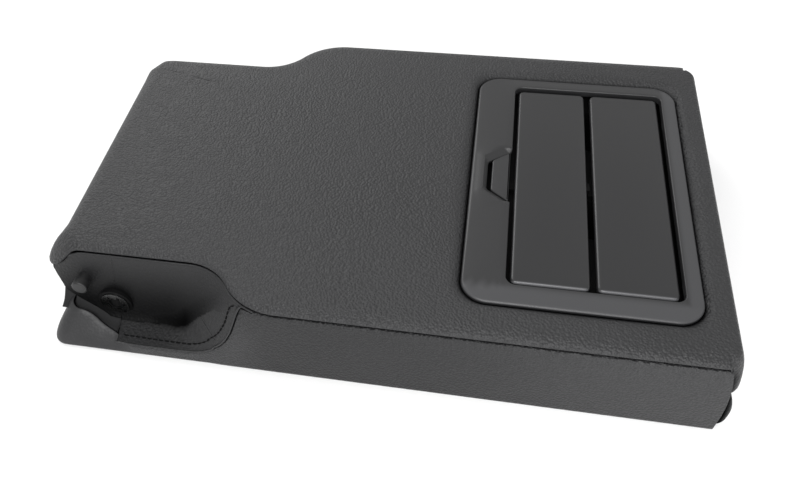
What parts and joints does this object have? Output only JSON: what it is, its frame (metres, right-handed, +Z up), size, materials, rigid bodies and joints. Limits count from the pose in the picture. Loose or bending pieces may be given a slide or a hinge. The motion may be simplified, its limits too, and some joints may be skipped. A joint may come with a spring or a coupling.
{
  "type": "rear seat armrest",
  "caption": "Leather-covered car rear centre armrest with a narrow hinged end, side hinge recesses and a cup holder under two long flaps with a release button.",
  "frame": {"origin": "under the middle of the armrest, on the surface it rests on", "axes": "+X along the length towards the cup-holder end, +Y to the left side, +Z up"},
  "size_m": [0.368, 0.24, 0.054],
  "materials": {
    "leather": "charcoal grained leather",
    "leather_lining": "smooth dark lining leather",
    "felt": "black felt",
    "foam": "moulded foam",
    "carrier_plastic": "moulded black plastic",
    "painted_steel": "black coated steel",
    "bush_plastic": "black bearing plastic",
    "bright_steel": "plain steel",
    "stop_pin": "dark plastic over a steel core",
    "bezel_plastic": "fine-grained satin plastic",
    "flap_plastic": "smooth satin plastic",
    "button_plastic": "satin plastic",
    "tray_plastic": "moulded black plastic",
    "mat_rubber": "black rubber",
    "spring_steel": "spring wire"
  },
  "bodies": {
    "armrest": {"top_cover": "leather", "side_cover_left": "leather", "side_cover_right": "leather", "bottom_cover": "leather", "recess_cover_left": "leather_lining", "recess_cover_right": "leather_lining", "rear_felt": "felt", "foam_core": "foam", "carrier": "carrier_plastic", "carrier_cheek_left": "carrier_plastic", "carrier_cheek_right": "carrier_plastic", "tray_posts": "carrier_plastic", "hinge_bracket_left": "painted_steel", "hinge_bracket_right": "painted_steel", "cross_tube": "painted_steel", "pivot_bush_left": "bush_plastic", "pivot_bush_right": "bush_plastic", "star_washer_left": "bright_steel", "star_washer_right": "bright_steel", "rear_hinge_pin": "bright_steel", "front_hinge_pin": "bright_steel", "bracket_screws": "bright_steel", "tray_screws": "bright_steel", "stop_pin_left": "stop_pin", "stop_pin_right": "stop_pin", "bezel": "bezel_plastic", "cup_tray": "tray_plastic", "cup_mat_left": "mat_rubber", "cup_mat_right": "mat_rubber", "rear_flap_springs": "spring_steel", "front_flap_springs": "spring_steel", "button_springs": "spring_steel", "latch_spring": "spring_steel"},
    "rear_flap": {"rear_flap": "flap_plastic"},
    "front_flap": {"front_flap": "flap_plastic"},
    "button": {"release_button": "button_plastic"},
    "latch": {"latch_slider": "tray_plastic"}
  },
  "joints": [
    {"name": "rear_flap_hinge", "type": "hinge", "parent": "armrest", "child": "rear_flap", "pos_m": [0.0732, 0, 0.0486], "axis": [0, -1, 0], "range_deg": [0, 90], "deforming": ["rear_flap_springs"]},
    {"name": "front_flap_hinge", "type": "hinge", "parent": "armrest", "child": "front_flap", "pos_m": [0.151, 0, 0.0486], "axis": [0, 1, 0], "range_deg": [0, 90], "deforming": ["front_flap_springs"]},
    {"name": "button_press", "type": "slide", "parent": "armrest", "child": "button", "axis": [0, 0, -1], "range_m": [0, 0.0025], "stiffness_N_per_m": 300, "springref_m": -0.002, "deforming": ["button_springs"]},
    {"name": "latch_slide", "type": "slide", "parent": "armrest", "child": "latch", "axis": [1, 0, 0], "range_m": [0, 0.0025], "deforming": ["latch_spring"]}
  ],
  "couplings": [
    {"joint": "latch_slide", "follows": "button_press", "ratio": 1}
  ]
}
